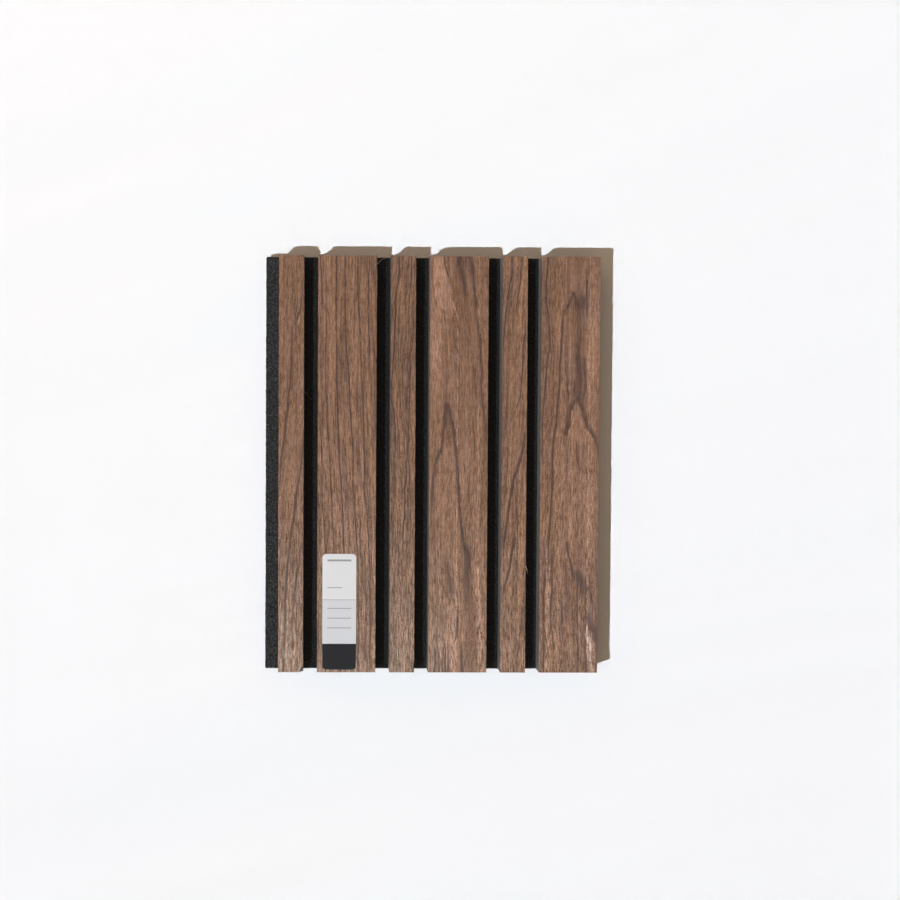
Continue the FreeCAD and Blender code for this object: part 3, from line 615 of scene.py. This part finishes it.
def felt_finish(name, dark, light):
    """Needled polyester: matted fibres that run every way."""
    finish = new_finish(name)
    x, y, z = finish.place()
    mat = 0.0
    for number, angle in enumerate((12, 71, 128)):
        cosine, sine = math.cos(math.radians(angle)), math.sin(math.radians(angle))
        along = x * cosine + y * sine
        across = y * cosine - x * sine
        strand = finish.grain(along * 0.7, across * 4.5, z * 2.5 + 11.0 * number, 2.0)
        mat = finish.ease(strand, 0.50, 0.72) + mat
    clump = finish.grain(x * 0.55, y * 0.55, z * 0.55, 3.0, 0.6)
    speck = finish.ease(finish.grain(x * 1.3, y * 1.3, z * 1.3 + 5.0, 1.0), 0.55, 0.75)
    tone = clump * 1.2 + mat * 0.40 + speck * 0.80 - 0.50
    # Painted shade: the felt between and under the slats is darker than the bare strip at its left edge
    tone = tone * finish.ease(x, FACE[SLATS[0]][0].x - 1.0, FACE[SLATS[0]][0].x + 1.0, 1.0, GAP_SHADE)
    colour = finish.blend(tone.most(0.0).least(1.0), dark, light)
    return finish.surface(
        Base_Color=colour,
        Roughness=0.95,
        Specular_IOR_Level=FELT_SHINE,
        Sheen_Weight=0.02,
        Sheen_Roughness=0.6,
        Normal=finish.bump(mat * 0.5 + clump, 0.22),
    )


def fibre_finish(name, colour):
    """Loose strand of felt or lint, a little uneven in tone."""
    finish = new_finish(name)
    x, y, z = finish.place()
    uneven = finish.grain(x * 0.8, y * 0.8, z * 0.8, 1.0)
    pale = tuple(1.7 * part for part in colour) + (1,)
    dark = tuple(0.5 * part for part in colour) + (1,)
    return finish.surface(
        Base_Color=finish.blend(uneven, dark, pale), Roughness=0.8, Specular_IOR_Level=0.15
    )


def splinter_finish():
    """Raw wood of a torn edge, paler than the veneer's face."""
    finish = new_finish("raw_splinter")
    x, y, z = finish.place()
    strand = finish.grain(x * 4.0, y * 0.5, z * 4.0, 2.0)
    colour = finish.blend(strand, (0.22, 0.125, 0.075, 1), (0.46, 0.30, 0.20, 1))
    return finish.surface(Base_Color=colour, Roughness=0.7, Normal=finish.bump(strand, 0.05))


# Sticker

UPPER_FIELD_END = 32.8
LOWER_FIELD_END = 64.8
PAPER_WHITE = (0.690, 0.700, 0.722, 1)
PAPER_GREY = (0.615, 0.630, 0.655, 1)
RULE_GREY = (0.400, 0.400, 0.405, 1)
BAR_GREY = (0.300, 0.300, 0.305, 1)
BAND_BLACK = (0.012, 0.013, 0.016, 1)
# Plain bars: from and to down the sticker, then from and to across it
BARS = ((4.0, 5.4, 3.5, 20.7), (24.0, 24.6, 3.5, 14.0), (39.0, 39.6, 3.5, 20.7), (46.0, 46.6, 3.5, 20.7),
        (53.0, 53.6, 3.5, 20.7))


def label_finish():
    """Printed paper: two pale fields over a dark band, with a few plain bars."""
    finish = new_finish("sticker_paper")
    x, y, z = finish.place()
    down = LABEL_HIGH.y - y
    across = x - LABEL_LOW.x
    edge = 0.05

    def between(value, start, end):
        return finish.ease(value, start - edge, start + edge) * finish.ease(value, end + edge, end - edge)

    colour = finish.blend(finish.ease(down, UPPER_FIELD_END - edge, UPPER_FIELD_END + edge), PAPER_WHITE, PAPER_GREY)
    colour = finish.blend(between(down, UPPER_FIELD_END, UPPER_FIELD_END + 0.5), colour, RULE_GREY)
    for start, end, left, right in BARS:
        colour = finish.blend(between(down, start, end) * between(across, left, right), colour, BAR_GREY)
    band = finish.ease(down, LOWER_FIELD_END - edge, LOWER_FIELD_END + edge)
    colour = finish.blend(band, colour, BAND_BLACK)
    tooth = finish.grain(x * 3.0, y * 3.0, z * 3.0, 3.0)
    cloud = finish.grain(x * 0.08, y * 0.08, z, 2.0)
    worn = (0.05 * tooth + 0.07 * cloud) * (1 - band * 0.95)
    colour = finish.blend(worn, colour, (0.60, 0.60, 0.62, 1))
    return finish.surface(
        Base_Color=colour,
        Roughness=0.62 + 0.12 * tooth,
        Specular_IOR_Level=0.16,
        Normal=finish.bump(tooth * 0.4 + cloud, 0.03),
    )


# Modelled pieces

def add_piece(name, points, faces, material, smooth=True):
    """Mesh piece from points in millimetres that moves with the panel."""
    mesh = bpy.data.meshes.new(name)
    mesh.from_pydata([tuple(part * MM for part in point) for point in points], [], faces)
    mesh.validate()
    mesh.shade_smooth() if smooth else mesh.shade_flat()
    piece = bpy.data.objects.new(name, mesh)
    bpy.context.scene.collection.objects.link(piece)
    give_finish(piece, material)
    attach(piece, "root")
    return piece


def steps(start, end, size):
    """Even places from start up to but without end, about one size apart."""
    count = max(1, round((end - start) / size))
    return [start + (end - start) * step / count for step in range(count)]


EDGE_STEPS = (0.0, 0.15, 0.4, 0.8, 1.3)
FELT_EDGE_ROUND = 0.8
FELT_CORNER = 1.5
FELT_CELL = 0.9
FELT_CELL_ALONG = 1.15
HIDDEN_CELL = 6.0


def felt_columns():
    """Places across the felt: fine where it shows, coarse under the slats."""
    left, right = FELT_LOW.x, FELT_HIGH.x
    places = [left + step for step in EDGE_STEPS]
    bare_from = places.pop()
    for slat in SLATS:
        low, high = FACE[slat]
        places += steps(bare_from, low.x, FELT_CELL) + steps(low.x, high.x, HIDDEN_CELL)
        bare_from = high.x
    places = [place for place in places if place < right - EDGE_STEPS[-1]]
    return places + [right - step for step in reversed(EDGE_STEPS)]


def felt_rows():
    inner = steps(FELT_LOW.y + EDGE_STEPS[-1], FELT_HIGH.y - EDGE_STEPS[-1], FELT_CELL_ALONG)
    ends = [FELT_LOW.y + step for step in EDGE_STEPS[:-1]]
    return ends + inner + [FELT_HIGH.y - step for step in reversed(EDGE_STEPS)]


def lumps(x, y, z):
    """Unevenness of the matted fibres, about -1 to 1."""
    at = Vector((x, y, z))
    return noise.noise(at * 0.33) + 0.6 * noise.noise(at * 0.95 + Vector((7, 3, 1)))


def round_corner(x, y):
    """Pull a point of the felt's square outline into its rounded corners."""
    inner_x, inner_y = FELT_HIGH.x - FELT_CORNER, FELT_HIGH.y - FELT_CORNER
    past = Vector((max(abs(x) - inner_x, 0.0), max(abs(y) - inner_y, 0.0)))
    if past.x and past.y:
        past = past.normalized() * max(past)
    return (math.copysign(min(abs(x), inner_x) + past.x, x), math.copysign(min(abs(y), inner_y) + past.y, y))


def slat_distance(x):
    """How far a place across the panel is from the nearest slat; 0 under one."""
    return min(max(low.x - x, x - high.x, 0.0) for low, high in FACE.values())


def felt_top(x, y):
    """Height of the felt: softened at its outline and lumpy where it is bare."""
    inset = min(FELT_HIGH.x - abs(x), FELT_HIGH.y - abs(y), FELT_EDGE_ROUND)
    drop = FELT_EDGE_ROUND - math.sqrt(FELT_EDGE_ROUND**2 - (FELT_EDGE_ROUND - max(inset, 0.0)) ** 2)
    bare = min(slat_distance(x) / 1.2, 1.0)
    return FELT_HIGH.z - drop - bare * (0.24 + 0.24 * lumps(x, y, 0.0))


WALL_HEIGHTS = (7.3, 6.3, 5.3, 4.3, 3.3, 2.3, 1.3, 0.5)


def make_felt(material):
    """The felt sheet as one closed skin: top, soft walls and back."""
    columns, rows = felt_columns(), felt_rows()
    last_column, last_row = len(columns) - 1, len(rows) - 1
    outline = [(i, 0) for i in range(last_column)] + [(last_column, j) for j in range(last_row)]
    outline += [(i, last_row) for i in range(last_column, 0, -1)] + [(0, j) for j in range(last_row, 0, -1)]
    on_outline = set(outline)

    def pushed(i, j, z):
        x, y = round_corner(columns[i], rows[j])
        if (i, j) in on_outline:
            out = Vector((x - max(min(x, FELT_HIGH.x - FELT_CORNER), FELT_LOW.x + FELT_CORNER),
                          y - max(min(y, FELT_HIGH.y - FELT_CORNER), FELT_LOW.y + FELT_CORNER)))
            out = out.normalized() * (0.05 + 0.22 * lumps(x, y, z))
            x, y = x + out.x, y + out.y
        return x, y

    points, faces = [], []
    top = {}
    for j in range(last_row + 1):
        for i in range(last_column + 1):
            top[i, j] = len(points)
            height = felt_top(*round_corner(columns[i], rows[j]))
            points.append((*pushed(i, j, height), height))
    ring = [top[cell] for cell in outline]
    for height in WALL_HEIGHTS:
        below = []
        for cell in outline:
            below.append(len(points))
            points.append((*pushed(*cell, height), height))
        for step in range(len(outline)):
            after = (step + 1) % len(outline)
            faces.append((ring[step], below[step], below[after], ring[after]))
        ring = below
    back = {}
    for j in range(last_row + 1):
        for i in range(last_column + 1):
            back[i, j] = len(points)
            x, y = round_corner(columns[i], rows[j])
            points.append((x * 0.9985, y * 0.9985, 0.0))
    bottom = [back[cell] for cell in outline]
    for step in range(len(outline)):
        after = (step + 1) % len(outline)
        faces.append((ring[step], bottom[step], bottom[after], ring[after]))
    for j in range(last_row):
        for i in range(last_column):
            corners = (i, j), (i + 1, j), (i + 1, j + 1), (i, j + 1)
            faces.append(tuple(top[corner] for corner in corners))
            faces.append(tuple(back[corner] for corner in reversed(corners)))
    felt = add_piece("felt_sheet", points, faces, material)
    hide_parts("felt_backing")
    return felt


def add_strand(points, faces, path, radius):
    """Three-sided strand that tapers along the path's second half."""
    first = len(points)
    for step, at in enumerate(path):
        ahead = path[min(step + 1, len(path) - 1)] - path[max(step - 1, 0)]
        side = ahead.cross(Vector((0.13, 0.21, 0.97))).normalized()
        up = side.cross(ahead).normalized()
        thick = radius * (1.0 if step < len(path) / 2 else 0.55)
        for corner in range(3):
            angle = corner * math.tau / 3
            points.append(at + (side * math.cos(angle) + up * math.sin(angle)) * thick)
    for step in range(len(path) - 1):
        base = first + 3 * step
        for corner in range(3):
            after = (corner + 1) % 3
            faces.append((base + corner, base + after, base + 3 + after, base + 3 + corner))
    end = len(points)
    faces.append((first, first + 2, first + 1))
    faces.append((end - 3, end - 2, end - 1))


def make_felt_fibres(name, count, length, radius, lift, material, seed):
    """Fibres that stand out of the felt where it is bare and along its walls."""
    chance = random.Random(seed)
    bare = [(FELT_LOW.x, FACE[SLATS[0]][0].x)]
    bare += [(FACE[a][1].x, FACE[b][0].x) for a, b in zip(SLATS, SLATS[1:])]
    points, faces = [], []
    for number in range(count):
        where = number % 9
        heading = chance.uniform(0, math.tau)
        run = length * chance.uniform(0.5, 1.4)
        if where < 6:
            left, right = bare[where]
            x = chance.uniform(left + 0.3, right - 0.3)
            y = chance.uniform(FELT_LOW.y + 0.3, FELT_HIGH.y - 0.3)
            start = Vector((x, y, felt_top(x, y) - 0.05))
            ahead = Vector((math.cos(heading), math.sin(heading), 0))
            rise = Vector((0, 0, 1))
        else:
            height = chance.uniform(0.4, FELT_HIGH.z - 0.5)
            along_end = where == 8
            x = chance.uniform(FELT_LOW.x + 1, FELT_HIGH.x - 1) if along_end else (FELT_LOW.x, FELT_HIGH.x)[where - 6]
            y = chance.choice((FELT_LOW.y, FELT_HIGH.y)) if along_end else chance.uniform(FELT_LOW.y, FELT_HIGH.y)
            start = Vector((x, y, height))
            rise = Vector((0, math.copysign(1, y), 0)) if along_end else Vector((math.copysign(1, x), 0, 0))
            level = Vector((1, 0, 0)) if along_end else Vector((0, 1, 0))
            ahead = level * math.cos(heading) + Vector((0, 0, 1)) * math.sin(heading) * 0.5
        curl = chance.uniform(-0.9, 0.9)
        turned = rise.cross(ahead)
        height = lift * chance.uniform(0.3, 1.5)
        path = []
        for step in range(5):
            t = step / 4
            bend = turned * (curl * t * t * run * 0.5)
            path.append(start + ahead * (run * (t - 0.5)) + bend + rise * (height * math.sin(math.pi * t)))
        if min(at.z for at in path) < 0.05:
            continue
        if where < 6 and not all(left < at.x < right for at in path):
            continue
        add_strand(points, faces, path, radius * chance.uniform(0.7, 1.3))
    return add_piece(name, points, faces, material)


def smooth_path(knots, count):
    """Points along a soft curve through the knots."""
    knots = [Vector(knot) for knot in knots]
    padded = [knots[0] * 2 - knots[1]] + knots + [knots[-1] * 2 - knots[-2]]
    path = []
    for number in range(count):
        t = number / (count - 1) * (len(knots) - 1)
        span = min(int(t), len(knots) - 2)
        u = t - span
        a, b, c, d = padded[span:span + 4]
        path.append((b * 2 + (c - a) * u + (a * 2 - b * 5 + c * 4 - d) * u**2
                     + (b * 3 - a - c * 3 + d) * u**3) * 0.5)
    return path


def make_thread(name, knots, radius, material):
    points, faces = [], []
    add_strand(points, faces, smooth_path(knots, 16), radius)
    return add_piece(name, points, faces, material)


def make_threads(curl_material, hair_material):
    """Curl of torn fibre at the head of the second gap and a hair across the first."""
    low = FELT_HIGH.z + 0.15
    curl = [under_pixel(across, down, low + rise) for across, down, rise in
            ((376.9, 264.3, 0.3), (378.8, 262.5, 0.9), (380.5, 260.7, 1.3), (382.4, 259.3, 1.0), (385.2, 258.3, 0.2))]
    make_thread("torn_curl", curl, 0.34, curl_material)
    hair = [under_pixel(across, down, low + rise) for across, down, rise in
            ((303.2, 391.2, 0.6), (305.4, 392.4, 1.0), (307.2, 393.8, 0.8), (309.2, 397.4, 0.4), (312.2, 400.2, 0.0))]
    make_thread("stray_hair", hair, 0.13, hair_material)


def make_splinter(material):
    """Sliver of veneer that stands off the right edge of the last narrow slat."""
    root, tip = under_pixel(525.4, 566), under_pixel(528.0, 574.4)
    edge = FACE["narrow_slat_3"][1].x
    root.x = edge - 0.25
    lift = Vector((0, 0, -0.45))
    points, faces = [], []
    count = 7
    for step in range(count):
        t = step / (count - 1)
        middle = root.lerp(tip, t) + lift * (0.3 + t * 0.8) + Vector((0.25 * math.sin(math.pi * t), 0, 0))
        half = 0.34 * (1 - t) ** 0.6 + 0.03
        thick = 0.16 * (1 - t) + 0.03
        for side, up in ((-1, -1), (1, -1), (1, 1), (-1, 1)):
            points.append(middle + Vector((side * half, side * half * 0.3, up * thick)))
    for step in range(count - 1):
        base = 4 * step
        for corner in range(4):
            after = (corner + 1) % 4
            faces.append((base + corner, base + after, base + 4 + after, base + 4 + corner))
    faces.append((3, 2, 1, 0))
    faces.append(tuple(len(points) - 4 + corner for corner in range(4)))
    return add_piece("edge_splinter", points, faces, material, smooth=False)


# Stage and light

LAMP_PLACE = Vector((-635, -353, 1077))
LAMP_RADIUS = 7
LAMP_STRENGTH = 34.0
LAMP_COLOUR = (0.87, 0.94, 1.0, 1)
SOFTBOX_PLACE = Vector((-110, -560, 1060))
SOFTBOX_SIDE = 420
SOFTBOX_POWER = 7.0
SOFTBOX_COLOUR = (1.0, 0.95, 0.84, 1)
BOUNCE_PLACE = Vector((-500, 900, 900))
BOUNCE_SIDE = 600
BOUNCE_POWER = 1.65
FILL_COLOUR = (1.0, 0.74, 0.52, 1)
FILL_STRENGTH = 0.255
BACKDROP_COLOUR = (0.93, 0.94, 0.965, 1)
FLOOR_COLOUR = (0.905, 0.915, 0.94, 1)


def add_floor():
    """Plain pale floor that the felt's back lies on."""
    half = 4000
    mesh = bpy.data.meshes.new("floor")
    corners = [(-half, -half), (half, -half), (half, half), (-half, half)]
    mesh.from_pydata([(x * MM, y * MM, -0.05 * MM) for x, y in corners], [], [(0, 1, 2, 3)])
    floor = bpy.data.objects.new("floor", mesh)
    bpy.context.scene.collection.objects.link(floor)
    finish = new_finish("pale_floor")
    shader = finish.node("ShaderNodeBsdfDiffuse", {}, {"Color": FLOOR_COLOUR})
    finish.node("ShaderNodeOutputMaterial", {}, {"Surface": shader})
    give_finish(floor, finish.owner)


def add_key_lamp():
    """Small bright lamp up on the left; it lights the floor evenly and casts crisp shadows."""
    data = bpy.data.lights.new("key_lamp", "POINT")
    data.shadow_soft_size = LAMP_RADIUS * MM
    data.energy = 1.0
    light = Finish(data)
    even = light.node("ShaderNodeLightFalloff", {}, {"Strength": LAMP_STRENGTH}, "Constant")
    heading = light.node("ShaderNodeTexCoord", output="Normal")
    downward = light.node("ShaderNodeSeparateXYZ", {}, {0: heading}, "Z")
    even = even / downward.math("ABSOLUTE", downward, 0.0).most(0.12)
    emission = light.node("ShaderNodeEmission", {}, {"Color": LAMP_COLOUR, "Strength": even})
    light.node("ShaderNodeOutputLight", {}, {"Surface": emission})
    lamp = bpy.data.objects.new("key_lamp", data)
    lamp.location = LAMP_PLACE * MM
    lamp.visible_glossy = False
    bpy.context.scene.collection.objects.link(lamp)


def add_soft_lamp(name, place, side, power, colour):
    """Square soft lamp that faces the panel."""
    data = bpy.data.lights.new(name, "AREA")
    data.shape = "SQUARE"
    data.size = side * MM
    data.energy = power
    data.color = colour[:3]
    lamp = bpy.data.objects.new(name, data)
    lamp.location = place * MM
    lamp.rotation_euler = (-place).to_track_quat("-Z", "Y").to_euler()
    bpy.context.scene.collection.objects.link(lamp)
    return lamp


def light_world():
    """Weak warm light from all round, in front of a near-white background."""
    world = bpy.data.worlds.new("studio")
    bpy.context.scene.world = world
    sky = Finish(world)
    fill = sky.node("ShaderNodeBackground", {}, {"Color": FILL_COLOUR, "Strength": FILL_STRENGTH})
    white = sky.node("ShaderNodeBackground", {}, {"Color": BACKDROP_COLOUR, "Strength": 1.0})
    seen = [sky.node("ShaderNodeLightPath", {}, {}, "Is %s Ray" % kind)
            for kind in ("Camera", "Glossy", "Transmission")]
    shown = seen[0].most(seen[1]).most(seen[2])
    both = sky.node("ShaderNodeMixShader", {}, {0: shown, 1: fill, 2: white})
    sky.node("ShaderNodeOutputWorld", {}, {"Surface": both})


# The panel

bpy.context.scene.view_settings.view_transform = "Standard"
add_camera()
add_floor()
add_key_lamp()
# The softbox beyond the slats' lower ends only gives them their sheen
sheen = add_soft_lamp("softbox", SOFTBOX_PLACE, SOFTBOX_SIDE, SOFTBOX_POWER, SOFTBOX_COLOUR)
sheen.visible_diffuse = False
add_soft_lamp("bounce", BOUNCE_PLACE, BOUNCE_SIDE, BOUNCE_POWER, FILL_COLOUR)
light_world()

core = dark_core_finish()
for number, slat in enumerate(SLATS):
    give_finish(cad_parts[slat + "_core"], core)
    give_finish(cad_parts[slat + "_veneer"], walnut_finish(slat, number))
give_finish(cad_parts["sample_label"], label_finish())

make_felt(felt_finish("needled_felt", (0.005, 0.005, 0.005, 1), (0.084, 0.084, 0.086, 1)))
make_felt_fibres("felt_fuzz", 5200, 1.6, 0.022, 0.25, fibre_finish("dark_fibre", (0.030, 0.030, 0.031)), 11)
make_felt_fibres("pale_fuzz", 420, 2.2, 0.020, 0.30, fibre_finish("pale_fibre", (0.22, 0.22, 0.22)), 29)
splinter = splinter_finish()
make_threads(fibre_finish("torn_fibre", (0.54, 0.51, 0.52)), splinter)
make_splinter(splinter)
